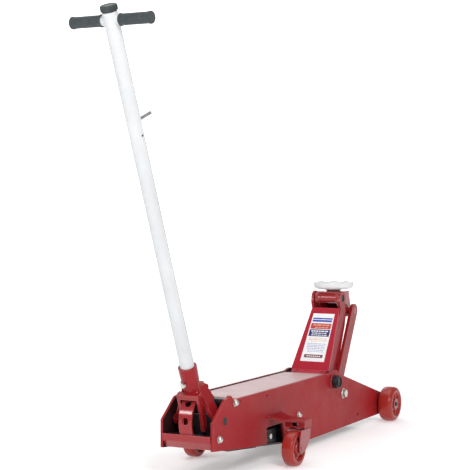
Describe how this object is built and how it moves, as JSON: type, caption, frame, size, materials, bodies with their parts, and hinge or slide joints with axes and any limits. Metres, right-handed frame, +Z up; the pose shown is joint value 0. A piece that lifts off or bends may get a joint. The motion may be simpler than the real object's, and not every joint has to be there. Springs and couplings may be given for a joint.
{
  "type": "trolley jack",
  "caption": "Long-chassis hydraulic trolley jack with a lean-back T-handle, swivel casters and a level-lifting saddle arm.",
  "frame": {"origin": "on the floor, under the middle of the jack's bounding box at rest", "axes": "+X from the handle end towards the front wheels and the saddle, +Y to the jack's left, +Z up"},
  "size_m": [1.7474, 0.386, 1.2687],
  "materials": {
    "red_paint": "satin",
    "cover_paint": "satin",
    "arm_paint": "satin",
    "wheel_paint": "satin",
    "zinc": "satin",
    "black_steel": "satin",
    "steel": "satin",
    "cast_block": "satin",
    "handle_white": "satin",
    "saddle_white": "satin",
    "rubber": "satin",
    "knob_plastic": "satin",
    "label": "satin"
  },
  "bodies": {
    "chassis": {"side_plates": "red_paint", "top_cover": "cover_paint", "rear_tray": "red_paint", "handle_strap": "red_paint", "belly_plate": "red_paint", "spacer_tubes": "black_steel", "spacer_bolts": "zinc", "front_axle": "steel", "spacer_rings": "steel", "axle_caps": "red_paint", "axle_bolts": "black_steel", "yoke_pins": "black_steel", "lift_shaft": "black_steel", "lift_nuts": "black_steel", "link_pivot_bolts": "zinc", "caster_brackets": "red_paint", "caster_king_bolts": "zinc", "reservoir": "red_paint", "ram_cylinder": "steel", "cylinder_gland": "black_steel", "unit_cradle": "black_steel", "pump_block": "cast_block", "pump_barrel": "steel", "unit_plugs": "zinc"},
    "release_spindle": {"release_spindle": "steel"},
    "front_wheel_right": {"front_wheel_right": "wheel_paint"},
    "front_wheel_left": {"front_wheel_left": "wheel_paint"},
    "caster_fork_right": {"caster_fork_right": "red_paint", "caster_axle_right": "red_paint"},
    "caster_wheel_right": {"caster_wheel_right": "wheel_paint"},
    "caster_fork_left": {"caster_fork_left": "red_paint", "caster_axle_left": "red_paint"},
    "caster_wheel_left": {"caster_wheel_left": "wheel_paint"},
    "lift_arm": {"arm_top_plate": "arm_paint", "arm_label": "label", "arm_cheeks": "arm_paint", "arm_webs": "arm_paint", "arm_hub": "arm_paint", "ram_horn": "arm_paint", "horn_pin": "steel", "arm_pins": "black_steel"},
    "link_bars": {"link_bars": "red_paint"},
    "saddle_bracket": {"saddle_bracket": "red_paint", "link_pin": "red_paint"},
    "saddle": {"saddle": "saddle_white", "saddle_stem": "steel"},
    "ram": {"piston_rod": "steel", "crosshead": "black_steel"},
    "pump_plunger": {"pump_plunger": "black_steel"},
    "handle": {"yoke": "red_paint", "inner_frame": "red_paint", "push_lugs": "black_steel", "handle_socket": "red_paint", "clamp_bolt": "zinc", "handle_tube": "handle_white", "t_bar": "handle_white", "grips": "rubber"},
    "release_knob": {"release_knob": "knob_plastic", "release_rod": "steel"},
    "lock": {"lock_plunger": "steel"}
  },
  "joints": [
    {"name": "front_wheel_right_spin", "type": "hinge", "parent": "chassis", "child": "front_wheel_right", "pos_m": [0.8132, -0.1154, 0.0605], "axis": [0, 1, 0], "continuous": true},
    {"name": "front_wheel_left_spin", "type": "hinge", "parent": "chassis", "child": "front_wheel_left", "pos_m": [0.8132, 0.1154, 0.0605], "axis": [0, 1, 0], "continuous": true},
    {"name": "caster_right_swivel", "type": "hinge", "parent": "chassis", "child": "caster_fork_right", "pos_m": [-0.0688, -0.165, 0.106], "axis": [0, 0, 1], "continuous": true},
    {"name": "caster_right_spin", "type": "hinge", "parent": "caster_fork_right", "child": "caster_wheel_right", "pos_m": [-0.1108, -0.165, 0.052], "axis": [0, 1, 0], "continuous": true},
    {"name": "caster_left_swivel", "type": "hinge", "parent": "chassis", "child": "caster_fork_left", "pos_m": [-0.0688, 0.165, 0.106], "axis": [0, 0, 1], "continuous": true},
    {"name": "caster_left_spin", "type": "hinge", "parent": "caster_fork_left", "child": "caster_wheel_left", "pos_m": [-0.1108, 0.165, 0.052], "axis": [0, 1, 0], "continuous": true},
    {"name": "arm_lift", "type": "hinge", "parent": "chassis", "child": "lift_arm", "pos_m": [0.3772, 0, 0.187], "axis": [0, -1, 0], "range_deg": [-74, 6]},
    {"name": "link_swing", "type": "hinge", "parent": "chassis", "child": "link_bars", "pos_m": [0.4572, 0, 0.139], "axis": [0, -1, 0], "range_deg": [-74, 6]},
    {"name": "bracket_level", "type": "hinge", "parent": "lift_arm", "child": "saddle_bracket", "pos_m": [0.5292, 0, 0.45027], "axis": [0, -1, 0], "range_deg": [-6, 74]},
    {"name": "saddle_turn", "type": "hinge", "parent": "saddle_bracket", "child": "saddle", "pos_m": [0.5722, 0, 0.48027], "axis": [0, 0, 1], "continuous": true},
    {"name": "ram_stroke", "type": "slide", "parent": "chassis", "child": "ram", "axis": [1, 0, 0], "range_m": [-0.1022, 0.0083]},
    {"name": "handle_lean", "type": "hinge", "parent": "chassis", "child": "handle", "pos_m": [-0.3888, 0, 0.165], "axis": [0, -1, 0], "range_deg": [-23, 64]},
    {"name": "plunger_stroke", "type": "slide", "parent": "chassis", "child": "pump_plunger", "axis": [1, 0, 0], "range_m": [-0.0097, 0.0269]},
    {"name": "knob_turn", "type": "hinge", "parent": "handle", "child": "release_knob", "pos_m": [-0.83814, 0, 1.22358], "axis": [-0.3907, 0, 0.9205], "range_deg": [0, 180]},
    {"name": "spindle_turn", "type": "hinge", "parent": "chassis", "child": "release_spindle", "pos_m": [-0.3088, -0.04, 0.092], "axis": [1, 0, 0], "range_deg": [0, 180]},
    {"name": "lock_slide", "type": "slide", "parent": "handle", "child": "lock", "axis": [-0.3907, 0, 0.9205], "range_m": [-0.014, 0]}
  ],
  "couplings": [
    {"joint": "link_swing", "follows": "arm_lift", "ratio": 1},
    {"joint": "bracket_level", "follows": "arm_lift", "ratio": -1},
    {"joint": "ram_stroke", "follows": "arm_lift", "m_per_rad": 0.07906},
    {"joint": "plunger_stroke", "follows": "handle_lean", "m_per_rad": 0.024},
    {"joint": "spindle_turn", "follows": "knob_turn", "ratio": 1}
  ]
}
